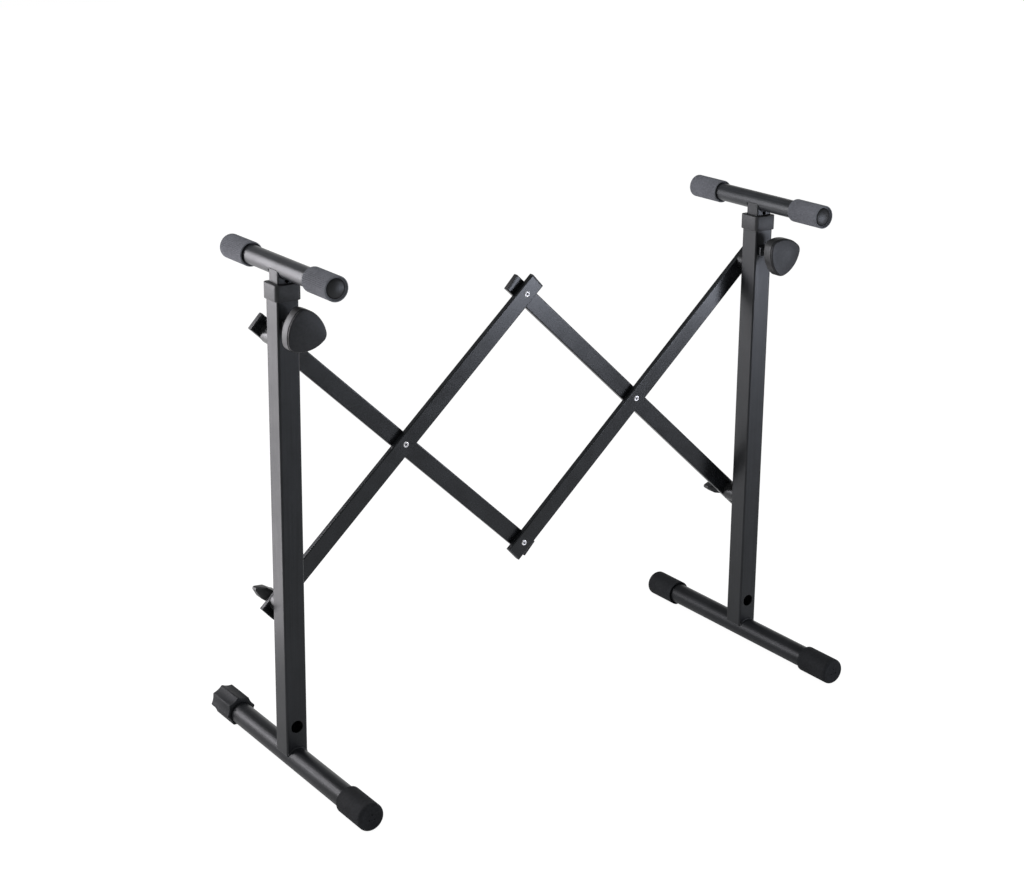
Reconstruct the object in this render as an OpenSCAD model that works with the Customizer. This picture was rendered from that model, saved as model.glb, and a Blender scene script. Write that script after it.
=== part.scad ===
// Folding table-style keyboard stand.
// Two end frames carry height-adjustable support bars. A lazy-tong lattice of four
// flat tubes joins the frames, sets their spacing and folds flat between them.
// X runs from the left post to the right post, the clamp knobs face -Y, Z is up.
// All sizes are in millimetres.

/* [Lattice] */
// Distance from the end pivot of an arm to its crossing pivot
arm_half = 261; // [220:1:300]
// Angle of the arms above the floor as drawn
open_angle = 42.9; // [38:0.1:48]
// Height of the arm tube's section
arm_w = 25; // [20:1:30]
// Thickness of the arm tube, front to back
arm_t = 8; // [6:0.5:10]
// Wall of the arm tube
arm_wall = 1.2; // [1:0.1:2]
// Corner radius of the arm tube
arm_r = 1.5; // [1.3:0.1:2.5]
// Length of an arm beyond its upper end pivot, cap included
arm_tail = 24.5; // [20:0.5:32]
// Length of an arm beyond its lower end pivot, cap included
arm_low_tail = 22.5; // [20:0.5:32]
// Thickness of the lip of the plastic end caps
arm_cap_lip = 2.2; // [1.5:0.1:4]
// Length of the end caps inside the tube
arm_cap_depth = 9; // [6:1:12]
// Space between the post and the front pair of arms
arm_gap = 10.4; // [8:0.1:14]
// Thickness of the washers between the two pairs of arms
layer_gap = 1.2; // [0.8:0.1:2]
// Distance of the upper end pivots below the post's top
pivot_drop = 68; // [60:1:86]

/* [Posts] */
// Side of the square post
post_w = 30; // [28:1:34]
// Wall of the post
post_wall = 1.5; // [1.2:0.1:2]
// Outer corner radius of the post
post_r = 2.5; // [2:0.1:4]
// Height of the post's lower corners above the floor
post_foot_z = 25; // [22:1:28]
// Height of the post's upper end
post_top_z = 646; // [636:1:660]
// Height of the slot's lower end, where the lattice is folded
slot_low_z = 69.4; // [66:0.1:110]
// Height of the slot's upper end, where the lattice is pulled out wide
slot_high_z = 357.4; // [330:0.1:380]
// Diameter of the round hole low in the front wall
low_hole_d = 17; // [12:1:20]
// Height of that hole's centre
low_hole_z = 62.7; // [58:0.1:80]
// Outer side of the square collar
collar_w = 35.5; // [33:0.5:40]
// Height of the collar
collar_h = 21; // [14:1:28]
// Thickness of the collar's top
collar_top = 4; // [3:0.5:6]

/* [Base] */
// Outer diameter of the base tube
base_d = 30; // [28:1:32]
// Wall of the base tube
base_wall = 2; // [1.5:0.1:3]
// Half of the base tube's length
base_half = 200; // [180:1:230]
// Length of the left tube behind its post
level_half = 190; // [175:1:220]
// Outer diameter of the rubber feet
foot_d = 36.6; // [35:0.1:42]
// Depth of the flat that each rubber foot stands on
foot_flat = 0.3; // [0.2:0.1:0.6]
// Length of the rubber feet
foot_len = 56; // [40:1:70]
// Thickness of the end of each foot
foot_end = 3; // [2:0.5:6]
// Edge radius of the rubber feet
foot_edge = 5; // [2:0.5:6]
// Diameter over the ribs of the levelling foot
level_d = 41.2; // [40:0.1:46]
// Number of ribs on the levelling foot
level_ribs = 8; // [6:1:12]
// Angle of the first rib
level_turn = 11; // [0:1:20]
// Radius of the hollows between the ribs
level_flute_r = 25; // [20:1:40]
// Depth of those hollows, measured from the rib tips
level_flute_depth = 2.3; // [1:0.1:2.5]
// Length of the levelling foot
level_len = 50; // [40:1:70]
// Thickness of its closed end
level_end = 4; // [2:0.5:6]
// Diameter of the three dimples in each rubber foot's end
dimple_d = 2.4; // [1.5:0.1:3]
// Distance of the dimples from the foot's axis
dimple_at = 4.5; // [3:0.5:8]
// Depth of the dimples
dimple_depth = 0.8; // [0.4:0.1:1.5]
// Width of the open rings at the mouths of the feet and at both ends of the grips
mouth_w = 1.8; // [1:0.1:2]
// Depth of the rings at the mouths
mouth_depth = 4; // [2:0.5:8]

/* [Support bars] */
// Outer diameter of the support bar
bar_d = 25; // [22:1:28]
// Wall of the support bar
bar_wall = 1.5; // [1:0.1:2.5]
// Space between the collar and the support bar at its lowest setting
bar_gap = 6.5; // [1:0.5:20]
// Half of the support bar's length
bar_half = 132; // [110:1:150]
// Outer diameter of the grips
grip_d = 32; // [29:1:38]
// Length of each grip
grip_len = 57; // [40:1:80]
// Distance that a grip reaches past the bar's end
grip_rim = 3; // [2:0.5:5]
// Edge radius of the grips
grip_edge = 1.5; // [1:0.5:3]
// Diameter of the hole in the inner side of the bar's end plugs
plug_hole_d = 17; // [10:1:19]
// Thickness of the end plugs' rims
plug_rim = 0.8; // [0.5:0.1:1]
// Length of the end plugs inside the bar
plug_len = 12; // [8:1:20]
// Height of the dome on the end plugs
plug_dome = 2; // [1:0.1:2]

/* [Masts] */
// Space between the mast and the post's walls, left and right
mast_side_gap = 1; // [0.8:0.1:2]
// Space between the mast and the post's front wall
mast_front_gap = 0.9; // [0.7:0.1:2]
// Wall of the mast
mast_wall = 1.5; // [1.2:0.1:2]
// Corner radius of the mast
mast_r = 2; // [1.6:0.1:3]
// Length of the mast, up to the support bar's axis
mast_len = 551; // [500:1:560]
// Diameter of the height holes
height_hole_d = 6; // [5:0.5:8]
// Distance between height holes
height_pitch = 27; // [20:1:40]
// Number of height steps above the lowest
height_steps = 13; // [8:1:15]
// Number of holes above the one at the knob
upper_holes = 2; // [1:1:2]
// Height of the glide's flange at the mast's foot
guide_h = 14; // [8:1:20]
// Length of the glide's plug inside the mast
guide_plug = 16; // [10:1:30]

/* [Clamp knobs] */
// Distance of the knob's axis below the post's top
knob_drop = 46; // [40:1:56]
// Distance from the knob's centre to its corners
knob_reach = 29.3; // [25:0.1:34]
// Radius of the knob's rounded corners
knob_corner_r = 11.6; // [8:0.1:14]
// Thickness of the knob, cover included
knob_t = 18; // [14:1:24]
// Thickness of the knob's cover plate
knob_cover_t = 3; // [2:0.5:5]
// Distance from the post's front face to the knob's back
knob_standoff = 28; // [24:1:34]
// Diameter of the knob's hub
knob_hub_d = 12; // [11:0.5:16]
// Turn of the left knob
left_knob_turn = 11; // [-60:1:60]
// Turn of the right knob
right_knob_turn = 49; // [-60:1:60]
// Diameter of the clamp screws and the slide bolts
screw_d = 8; // [6:1:8]
// Width of the clamp boss
boss_w = 20; // [16:1:22]
// Height of the clamp boss
boss_h = 13; // [12:1:20]
// Thickness of the clamp boss
boss_t = 5; // [3:0.5:8]
// Corner radius of the clamp boss and of the slide plates
boss_r = 2; // [1:0.5:4]
// Space between the clamp boss and the knob's hub
hub_gap = 4; // [2:0.5:6]
// Edge rounding of the knob's back
knob_edge = 2.5; // [1:0.5:4]

/* [Pivots] */
// Outer diameter of the round bushes behind the posts
bush_d = 28; // [22:1:30]
// Outer diameter of the rivets' heads
rivet_head_d = 8.4; // [8:0.1:11]
// Diameter of the rivets' shanks
rivet_d = 6; // [5:0.5:7]
// Height of the rivets' heads
rivet_head_h = 1.2; // [0.8:0.1:2]
// Diameter of the hole through a rivet
rivet_bore_d = 3.4; // [2:0.1:4]
// Outer diameter of the washers
washer_d = 18; // [12:1:22]
// Thickness of the washers under the heads and wing nuts
head_washer_t = 1.5; // [1:0.1:2]
// Diameter of the pivot screws' heads
pivot_head_d = 14; // [12:1:18]
// Height of the pivot screws' heads
pivot_head_h = 4.4; // [3:0.1:6]
// Size of the socket in the pivot screws, across flats
socket_w = 5; // [4:0.5:6]

/* [Slides] */
// Width of the slot in the post's rear wall
slot_w = 8.6; // [8.4:0.1:10]
// Width of the slide plate inside the post
slide_w = 21; // [16:1:24]
// Height of the slide plate
slide_h = 32; // [24:1:44]
// Thickness of the slide plate
slide_t = 2.6; // [2:0.1:3]
// Diameter of the wing nut's hub
wing_hub_d = 18; // [15:1:20]
// Length of the wing nut, seat to end
wing_len = 20.7; // [16:0.1:26]
// Distance from the wing nut's axis to a wing's tip
wing_reach = 27; // [22:0.5:32]
// Width of a wing across its middle
wing_mid_w = 16; // [10:0.5:18]
// Width of a wing across its tip
wing_tip_w = 6; // [3:0.5:8]
// Thickness of a wing at its tip, front to back
wing_t = 10; // [6:0.5:12]
// Turn of the left wing nut
left_wing_turn = 33; // [-90:1:90]
// Turn of the right wing nut
right_wing_turn = 7; // [-90:1:90]

/* [Fits] */
// Clearance between a turning shank and its hole, on the radius
run_fit = 0.06; // [0.02:0.01:0.1]
// Clearance between flat faces that slide or turn on each other
face_fit = 0.2; // [0.1:0.05:0.3]
// Clearance between fitted parts that don't move
seat_fit = 0.1; // [0.05:0.05:0.2]
// Radial clearance of the lattice's one loose pivot
loose_fit = 0.3; // [0.2:0.05:0.5]

/* [Hidden] */
$fn = 64;
// overlap of joined shapes, and how far a cut runs past the face that it opens
FINE = 0.01;
OVER = 1;

post_x = 2 * arm_half * cos(open_angle);
upper_pivot_z = post_top_z - pivot_drop;
lower_pivot_z = upper_pivot_z - 2 * arm_half * sin(open_angle);
knob_z = post_top_z - knob_drop;

post_face = post_w / 2;
post_bore = post_w - 2 * post_wall;
front_layer_y = post_face + arm_gap;
rear_layer_y = front_layer_y + arm_t + layer_gap;

base_z = foot_d / 2 - foot_flat;
// where the hollows' circles lie, and half the angle of the rib tip between two of them
level_tip_r = level_d / 2;
level_flute_at = level_tip_r - level_flute_depth + level_flute_r;
level_cut = (pow(level_flute_at, 2) + pow(level_tip_r, 2) - pow(level_flute_r, 2))
    / (2 * level_flute_at * level_tip_r);
level_tip_half = 180 / level_ribs - acos(level_cut);
level_lift = level_tip_r * cos(level_turn - level_tip_half) - base_z;

bar_z = post_top_z + collar_top + bar_gap + bar_d / 2;
mast_foot_z = bar_z - mast_len;
collar_z = post_top_z + collar_top - collar_h;

knob_back_y = -post_face - knob_standoff;

slide_rear_y = post_bore / 2 - face_fit;
slide_front_y = slide_rear_y - slide_t;
// the mast fills the post's bore up to a slide plate that passes behind it
mast_w = post_bore - 2 * mast_side_gap;
mast_front_y = -post_bore / 2 + mast_front_gap;
mast_rear_y = slide_front_y - loose_fit;
mast_d = mast_rear_y - mast_front_y;
mast_y = (mast_front_y + mast_rear_y) / 2;
screw_tip_y = mast_front_y - 2 * face_fit;
// depth that a pivot screw reaches past the post's inner face
screw_tip = 2;
socket_depth = 2.4;
// plastic in front of a clamp screw's end
screw_cap = 4;
// bevel of a knob's front edge, step from there to its cover, and the cover's rounding
knob_bevel = 0.5;
knob_step = 0.7;
knob_round = 1.3;
// flat rings that a plug's dome is made of
dome_steps = 6;
// closed end of the wing nut behind its bore, and where its wings begin
wing_end = 4;
wing_seat = 2;

steel_black = [0.13, 0.13, 0.14];
plastic_black = [0.08, 0.08, 0.09];
rubber_black = [0.06, 0.06, 0.06];
plastic_grey = [0.45, 0.45, 0.47];
zinc = [0.75, 0.76, 0.78];

// Places and outlines that several pieces share

module at_left() { translate([-post_x, 0, 0]) children(); }

module at_right() { translate([post_x, 0, 0]) children(); }

// Turns a shape drawn along +Z so that it runs along +Y
module along_y() { rotate([-90, 0, 0]) children(); }

// A round bar or bore along Y, from front to back
module rod_y(d, front, back) {
    translate([0, front, 0])
        along_y()
            cylinder(d = d, h = back - front);
}

// Rectangle with rounded corners, made of straight sides and true arcs
module rounded_rect(w, h, r) {
    square([w - 2 * r, h], center = true);
    square([w, h - 2 * r], center = true);
    for (sx = [-1, 1], sy = [-1, 1])
        translate([sx * (w / 2 - r), sy * (h / 2 - r)])
            circle(r = r);
}

// Section of a rectangular tube
module tube_section(w, h, wall, r) {
    difference() {
        rounded_rect(w, h, r);
        rounded_rect(w - 2 * wall, h - 2 * wall, max(r - wall, 0.3));
    }
}

// A slot that runs up a wall, with round ends, cut along Y
module slot_y(w, low, high, front, back) {
    translate([-w / 2, front, low])
        cube([w, back - front, high - low]);
    for (z = [low, high])
        translate([0, 0, z])
            rod_y(w, front, back);
}

// Half profile of a sleeve or cup, rounded where it ends
module rounded_half_profile(r, len, edge) {
    square([r - edge, len]);
    square([r, len - edge]);
    translate([r - edge, len - edge])
        circle(r = edge);
}

// End frames

module base_tube(front, back) {
    color(steel_black)
        translate([0, 0, base_z])
            difference() {
                rod_y(base_d, front, back);
                rod_y(base_d - 2 * base_wall, front - OVER, back + OVER);
            }
}

module post() {
    color(steel_black)
        difference() {
            translate([0, 0, post_foot_z])
                linear_extrude(post_top_z - post_foot_z)
                    tube_section(post_w, post_w, post_wall, post_r);
            // saddle that sits on the base tube
            translate([0, 0, base_z])
                rod_y(base_d + 2 * seat_fit, -post_w, post_w);
            // round hole low in the front wall
            translate([0, 0, low_hole_z])
                rod_y(low_hole_d, -post_w, -post_bore / 2 + OVER);
            // hole for the clamp screw
            translate([0, 0, knob_z])
                rod_y(screw_d + 2 * run_fit, -post_w, -post_bore / 2 + OVER);
            // hole for the pivot screw
            translate([0, 0, upper_pivot_z])
                rod_y(screw_d + 2 * run_fit, post_bore / 2 - OVER, post_w);
            // slot for the slide bolt
            slot_y(slot_w, slot_low_z, slot_high_z, post_bore / 2 - OVER, post_w);
        }
}

module collar() {
    hole_w = mast_w + 2 * face_fit;
    hole_d = mast_d + 2 * face_fit;
    pocket = post_w + 2 * seat_fit;
    color(plastic_black)
        difference() {
            translate([0, 0, collar_z])
                linear_extrude(collar_h)
                    rounded_rect(collar_w, collar_w, post_r + (collar_w - post_w) / 2);
            translate([0, 0, collar_z - OVER])
                linear_extrude(collar_h - collar_top + OVER)
                    rounded_rect(pocket, pocket, post_r);
            translate([0, mast_y, collar_z])
                linear_extrude(collar_h + OVER)
                    rounded_rect(hole_w, hole_d, mast_r);
        }
}

// Rubber foot on the front end of a base tube
module front_foot() {
    r = foot_d / 2;
    end_y = -base_half - foot_end;
    color(rubber_black)
        difference() {
            translate([0, end_y + foot_len, base_z])
                rotate([90, 0, 0])
                    rotate_extrude()
                        rounded_half_profile(r, foot_len, foot_edge);
            translate([0, 0, base_z])
                rod_y(base_d + 2 * seat_fit, -base_half - seat_fit, end_y + foot_len + OVER);
            // open ring at its mouth
            translate([0, 0, base_z])
                rod_y(base_d + 2 * mouth_w, end_y + foot_len - mouth_depth, end_y + foot_len + OVER);
            // flat that it stands on
            translate([-r, end_y - OVER, -2 * foot_flat])
                cube([2 * r, foot_len + 2 * OVER, 2 * foot_flat]);
            // three small dimples in the end
            for (a = [90, 210, 330])
                translate([dimple_at * cos(a), 0, base_z + dimple_at * sin(a)])
                    rod_y(dimple_d, end_y - OVER, end_y + dimple_depth);
        }
}

// Fluted foot whose bore is off centre, so that a turn lifts or lowers it
module levelling_foot() {
    end_y = level_half + level_end;
    color(plastic_black)
        difference() {
            translate([0, end_y, base_z + level_lift])
                rotate([90, 0, 0])
                    linear_extrude(level_len)
                        difference() {
                            circle(r = level_tip_r);
                            for (i = [0 : level_ribs - 1])
                                rotate(-90 + level_turn + (i + 0.5) * 360 / level_ribs)
                                    translate([level_flute_at, 0])
                                        circle(r = level_flute_r);
                        }
            translate([0, 0, base_z])
                rod_y(base_d + 2 * run_fit, end_y - level_len - OVER, level_half + face_fit);
        }
}

module clamp_boss() {
    color(steel_black)
        translate([0, -post_face, knob_z])
            rotate([90, 0, 0])
                difference() {
                    linear_extrude(boss_t)
                        rounded_rect(boss_w, boss_h, boss_r);
                    translate([0, 0, -OVER])
                        cylinder(d = screw_d + 2 * run_fit, h = boss_t + 2 * OVER);
                }
}

// Bush behind the post at an upper pivot
module pivot_bush(layer_y) {
    color(plastic_black)
        translate([0, 0, upper_pivot_z])
            difference() {
                rod_y(bush_d, post_face, layer_y - face_fit);
                rod_y(screw_d + 2 * run_fit, post_face - OVER, layer_y);
            }
}

// Masts and support bars

module mast() {
    color(steel_black)
        difference() {
            translate([0, mast_y, mast_foot_z])
                linear_extrude(mast_len)
                    tube_section(mast_w, mast_d, mast_wall, mast_r);
            // saddle for the support bar
            translate([0, 0, bar_z])
                rod_y(bar_d + 2 * seat_fit, -post_w, post_w);
            for (i = [-height_steps : upper_holes])
                translate([0, 0, knob_z + i * height_pitch])
                    rod_y(height_hole_d, -post_w, mast_y);
        }
}

// Glide at the mast's lower end, plugged into the tube
module mast_guide() {
    flange_w = post_bore - 2 * face_fit;
    flange_front = -post_bore / 2 + face_fit;
    plug_w = mast_w - 2 * mast_wall - 2 * seat_fit;
    plug_d = mast_d - 2 * mast_wall - 2 * seat_fit;
    color(plastic_grey) {
        translate([0, (flange_front + mast_rear_y) / 2, mast_foot_z - guide_h])
            linear_extrude(guide_h)
                rounded_rect(flange_w, mast_rear_y - flange_front, mast_r);
        translate([0, mast_y, mast_foot_z - FINE])
            linear_extrude(guide_plug)
                rounded_rect(plug_w, plug_d, mast_r - mast_wall);
    }
}

module support_bar() {
    color(steel_black)
        translate([0, 0, bar_z])
            difference() {
                rod_y(bar_d, -bar_half, bar_half);
                rod_y(bar_d - 2 * bar_wall, -bar_half - OVER, bar_half + OVER);
            }
}

module grips() {
    grip_mouth_y = -bar_half - grip_rim + grip_len;
    color(rubber_black)
        for (turn = [0, 180])
            translate([0, 0, bar_z])
                rotate(turn)
                    difference() {
                        translate([0, grip_mouth_y, 0])
                            rotate([90, 0, 0])
                                rotate_extrude()
                                    intersection() {
                                        rounded_half_profile(grip_d / 2, grip_len, grip_edge);
                                        translate([0, grip_len])
                                            mirror([0, 1])
                                                rounded_half_profile(grip_d / 2, grip_len, grip_edge);
                                    }
                        rod_y(bar_d + 2 * seat_fit, -bar_half - OVER, 0);
                        // open rings at its mouth and round the plug
                        rod_y(bar_d + 2 * mouth_w, grip_mouth_y - mouth_depth, 0);
                        rod_y(bar_d + 2 * mouth_w, -bar_half - grip_rim - OVER, -bar_half);
                    }
}

// Half of the outline of a disc with a domed top
module domed_half_profile(r, rim, dome) {
    ball_r = (r * r + dome * dome) / (2 * dome);
    span = asin(r / ball_r);
    crown = [
        for (i = [dome_steps:-1:0])
            let (a = span * i / dome_steps)
                [ball_r * sin(a), rim + dome - ball_r * (1 - cos(a))]
    ];
    polygon(concat([[0, 0], [r, 0]], crown));
}

// Domed plugs in the ends of a support bar
module bar_plugs() {
    stem = bar_d - 2 * bar_wall - 2 * seat_fit;
    color(plastic_black)
        for (turn = [0, 180])
            translate([0, 0, bar_z])
                rotate(turn)
                    difference() {
                        union() {
                            translate([0, -bar_half - seat_fit, 0])
                                rotate([90, 0, 0])
                                    rotate_extrude()
                                        domed_half_profile(bar_d / 2, plug_rim - seat_fit, plug_dome);
                            rod_y(stem, -bar_half - plug_rim / 2, -bar_half + plug_len);
                        }
                        rod_y(plug_hole_d, -bar_half + plug_rim, -bar_half + plug_len + OVER);
                    }
}

// Clamp knobs

// Points of a triangle with bulged sides and round corners
function bulged_triangle(reach, corner, inset) =
    let (c = reach - corner, long_r = c * sqrt(3) + corner - inset, small_r = corner - inset)
    [for (k = [0 : 2])
        let (at = 120 * k)
        each concat(
            [for (i = [0 : 7])
                let (a = at - 30 + i * 60 / 8)
                [c * cos(at) + small_r * cos(a), c * sin(at) + small_r * sin(a)]],
            [for (i = [0 : 11])
                let (a = at + 30 + i * 60 / 12)
                [c * cos(at + 240) + long_r * cos(a), c * sin(at + 240) + long_r * sin(a)]]
        )];

module knob_slab(z, h, inset) {
    translate([0, 0, z])
        linear_extrude(h)
            polygon(bulged_triangle(knob_reach, knob_corner_r, inset));
}

// Knob body, drawn along +Z from its back, then turned to face forwards
module knob(turn) {
    body_t = knob_t - knob_cover_t;
    hub_len = knob_standoff - boss_t - hub_gap;
    color(plastic_black)
        translate([0, knob_back_y, knob_z])
            rotate([90, 0, 0])
                rotate(90 + turn)
                    difference() {
                        union() {
                            hull() {
                                knob_slab(0, knob_edge / 2, knob_edge);
                                knob_slab(knob_edge, body_t - knob_edge - knob_bevel, 0);
                                knob_slab(body_t - knob_bevel, knob_bevel, knob_bevel);
                            }
                            translate([0, 0, -hub_len])
                                cylinder(d = knob_hub_d, h = hub_len + OVER);
                        }
                        translate([0, 0, -knob_standoff])
                            cylinder(d = screw_d + 2 * seat_fit, h = knob_standoff + body_t - screw_cap);
                    }
}

module knob_cover(turn) {
    body_t = knob_t - knob_cover_t;
    color(plastic_black)
        translate([0, knob_back_y, knob_z])
            rotate([90, 0, 0])
                rotate(90 + turn)
                    hull() {
                        knob_slab(body_t + seat_fit, knob_cover_t - 1, knob_step);
                        knob_slab(knob_t - face_fit, face_fit, knob_step + knob_round);
                    }
}

module clamp_screw() {
    color(zinc)
        translate([0, 0, knob_z])
            rod_y(screw_d, knob_back_y - knob_t + knob_cover_t + screw_cap + seat_fit, screw_tip_y);
}

// Lattice arms

// Puts a piece drawn along +X from an end pivot in its place in the lattice
module on_arm(x, z, tilt, layer_y) {
    translate([x, layer_y, z])
        rotate([0, -tilt, 0])
            children();
}

module on_left_rising() { on_arm(-post_x, lower_pivot_z, open_angle, front_layer_y) children(); }

module on_left_falling() { on_arm(-post_x, upper_pivot_z, -open_angle, rear_layer_y) children(); }

module on_right_rising() { on_arm(0, lower_pivot_z, open_angle, front_layer_y) children(); }

module on_right_falling() { on_arm(0, upper_pivot_z, -open_angle, rear_layer_y) children(); }

// Flat tube with three holes. It starts at the tail of its end at the origin.
// The list holds the hole's diameter at each of the three pivots
module arm(tail, bores) {
    start = -tail + arm_cap_lip;
    len = 2 * arm_half + arm_tail + arm_low_tail - 2 * arm_cap_lip;
    color(steel_black)
        difference() {
            translate([start, arm_t / 2, 0])
                rotate([90, 0, 90])
                    linear_extrude(len)
                        tube_section(arm_t, arm_w, arm_wall, arm_r);
            for (i = [0 : 2])
                translate([i * arm_half, 0, 0])
                    rod_y(bores[i], -OVER, arm_t + OVER);
        }
}

// The two plastic caps of an arm
module arm_caps(tail) {
    ends = [-tail, 2 * arm_half + arm_tail + arm_low_tail - tail];
    plug_t = arm_t - 2 * arm_wall - 2 * seat_fit;
    plug_w = arm_w - 2 * arm_wall - 2 * seat_fit;
    color(plastic_black)
        for (end = [0, 1])
            translate([ends[end], arm_t / 2, 0])
                rotate([90, 0, end == 0 ? 90 : -90]) {
                    linear_extrude(arm_cap_lip)
                        rounded_rect(arm_t, arm_w, arm_r);
                    translate([0, 0, arm_cap_lip - FINE])
                        linear_extrude(arm_cap_depth)
                            rounded_rect(plug_t, plug_w, 0.5);
                }
}

// Hollow rivet through both layers, drawn at an arm's pivot
module rivet() {
    depth = 2 * arm_t + layer_gap;
    color(zinc)
        difference() {
            union() {
                rod_y(rivet_head_d, -rivet_head_h, -FINE);
                rod_y(rivet_d, -rivet_head_h, depth + face_fit + rivet_head_h);
                rod_y(rivet_head_d, depth + face_fit, depth + face_fit + rivet_head_h);
            }
            rod_y(rivet_bore_d, -rivet_head_h - OVER, depth + face_fit + rivet_head_h + OVER);
        }
}

module layer_washer() {
    color(plastic_grey)
        difference() {
            rod_y(washer_d, arm_t, arm_t + layer_gap - face_fit);
            rod_y(rivet_d + 2 * run_fit, arm_t - OVER, arm_t + layer_gap);
        }
}

module at_upper_pivot() { translate([0, 0, upper_pivot_z]) children(); }

// Washer under the head of a pivot screw, behind the arm
module pivot_washer(layer_y) {
    front = layer_y + arm_t + face_fit;
    color(zinc)
        at_upper_pivot()
            difference() {
                rod_y(washer_d, front, front + head_washer_t);
                rod_y(screw_d + 2 * run_fit, front - OVER, front + head_washer_t + OVER);
            }
}

// Screw from behind an arm, through the bush, into the post's rear wall
module pivot_screw(layer_y) {
    head_y = layer_y + arm_t + face_fit + head_washer_t;
    color(zinc)
        at_upper_pivot()
            difference() {
                union() {
                    rod_y(screw_d, post_bore / 2 - screw_tip, head_y + OVER);
                    rod_y(pivot_head_d, head_y, head_y + pivot_head_h);
                }
                translate([0, head_y + pivot_head_h - socket_depth, 0])
                    along_y()
                        cylinder(d = socket_w / cos(30), h = socket_depth + OVER, $fn = 6);
            }
}

// Slides and wing nuts at the lower ends, drawn with the pivot at the origin's height

module at_lower_pivot() { translate([0, 0, lower_pivot_z]) children(); }

module slide_plate() {
    color(steel_black)
        at_lower_pivot()
            difference() {
                translate([0, slide_rear_y, 0])
                    rotate([90, 0, 0])
                        linear_extrude(slide_t)
                            rounded_rect(slide_w, slide_h, boss_r);
                rod_y(screw_d + 2 * seat_fit, slide_front_y - OVER, slide_rear_y + OVER);
            }
}

module slide_bolt(layer_y) {
    end_y = layer_y + arm_t + face_fit + head_washer_t + wing_len - wing_end;
    color(zinc)
        at_lower_pivot()
            rod_y(screw_d, slide_front_y, end_y);
}

module slide_bush(layer_y) {
    color(plastic_black)
        at_lower_pivot()
            difference() {
                rod_y(bush_d, post_face + face_fit, layer_y - face_fit);
                rod_y(screw_d + 2 * seat_fit, post_face, layer_y);
            }
}

module slide_washer(layer_y) {
    color(zinc)
        at_lower_pivot()
            translate([0, layer_y + face_fit, 0])
                difference() {
                    rod_y(washer_d, arm_t, arm_t + head_washer_t);
                    rod_y(screw_d + 2 * seat_fit, arm_t - OVER, arm_t + head_washer_t + OVER);
                }
}

// Wing nut drawn along +Y from its seat, with two bulged wings swept back
module wing_nut(layer_y, turn) {
    wing_mid_y = (wing_seat + wing_len - wing_t) / 2;
    color(plastic_black)
        at_lower_pivot()
            translate([0, layer_y + arm_t + head_washer_t + 2 * face_fit, 0])
                rotate([0, turn, 0])
                    difference() {
                        union() {
                            rod_y(wing_hub_d, 0, wing_len);
                            for (side = [-1, 1])
                                hull() {
                                    rod_y(wing_hub_d - OVER, wing_seat, wing_len, $fn = 32);
                                    translate([side * wing_reach / 2, 0, 0])
                                        rod_y(wing_mid_w, wing_mid_y, wing_len, $fn = 32);
                                    translate([side * (wing_reach - wing_tip_w / 2), 0, 0])
                                        rod_y(wing_tip_w, wing_len - wing_t, wing_len, $fn = 32);
                                }
                        }
                        rod_y(screw_d + 2 * run_fit, -OVER, wing_len - wing_end + face_fit);
                    }
}

// The pieces, one module each

module left_base_tube() { at_left() base_tube(-base_half, level_half); }
module left_post() { at_left() post(); }
module left_collar() { at_left() collar(); }
module left_front_foot() { at_left() front_foot(); }
module left_levelling_foot() { at_left() levelling_foot(); }
module left_clamp_boss() { at_left() clamp_boss(); }
module left_pivot_bush() { at_left() pivot_bush(rear_layer_y); }
module left_pivot_screw() { at_left() pivot_screw(rear_layer_y); }
module left_pivot_washer() { at_left() pivot_washer(rear_layer_y); }

module left_mast() { at_left() mast(); }
module left_support_bar() { at_left() support_bar(); }
module left_grips() { at_left() grips(); }
module left_bar_plugs() { at_left() bar_plugs(); }
module left_mast_guide() { at_left() mast_guide(); }

module left_knob() { at_left() knob(left_knob_turn); }
module left_knob_cover() { at_left() knob_cover(left_knob_turn); }
module left_clamp_screw() { at_left() clamp_screw(); }

module left_falling_arm() {
    on_left_falling()
        arm(arm_tail, [screw_d + 2 * run_fit, rivet_d + 2 * run_fit, rivet_d + 2 * run_fit]);
}
module left_falling_caps() { on_left_falling() arm_caps(arm_tail); }

module left_rising_arm() {
    on_left_rising()
        arm(arm_low_tail, [screw_d + 2 * run_fit, rivet_d + 2 * run_fit, rivet_d + 2 * run_fit]);
}
module left_rising_caps() { on_left_rising() arm_caps(arm_low_tail); }
module left_arm_rivets() {
    on_left_rising()
        for (i = [1, 2])
            translate([i * arm_half, 0, 0]) rivet();
}
module left_arm_washers() {
    on_left_rising()
        for (i = [1, 2])
            translate([i * arm_half, 0, 0]) layer_washer();
}

module left_slide_plate() { at_left() slide_plate(); }
module left_slide_bolt() { at_left() slide_bolt(front_layer_y); }
module left_slide_bush() { at_left() slide_bush(front_layer_y); }
module left_slide_washer() { at_left() slide_washer(front_layer_y); }
module left_wing_nut() { at_left() wing_nut(front_layer_y, left_wing_turn); }

module right_rising_arm() {
    on_right_rising()
        arm(arm_low_tail, [rivet_d + 2 * run_fit, rivet_d + 2 * run_fit, screw_d + 2 * run_fit]);
}
module right_rising_caps() { on_right_rising() arm_caps(arm_low_tail); }
module right_arm_rivets() {
    on_right_rising()
        for (i = [0, 1])
            translate([i * arm_half, 0, 0]) rivet();
}
module right_arm_washers() {
    on_right_rising()
        for (i = [0, 1])
            translate([i * arm_half, 0, 0]) layer_washer();
}

module right_falling_arm() {
    on_right_falling()
        arm(arm_tail, [rivet_d + 2 * run_fit, rivet_d + 2 * loose_fit, screw_d + 2 * run_fit]);
}
module right_falling_caps() { on_right_falling() arm_caps(arm_tail); }

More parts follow.
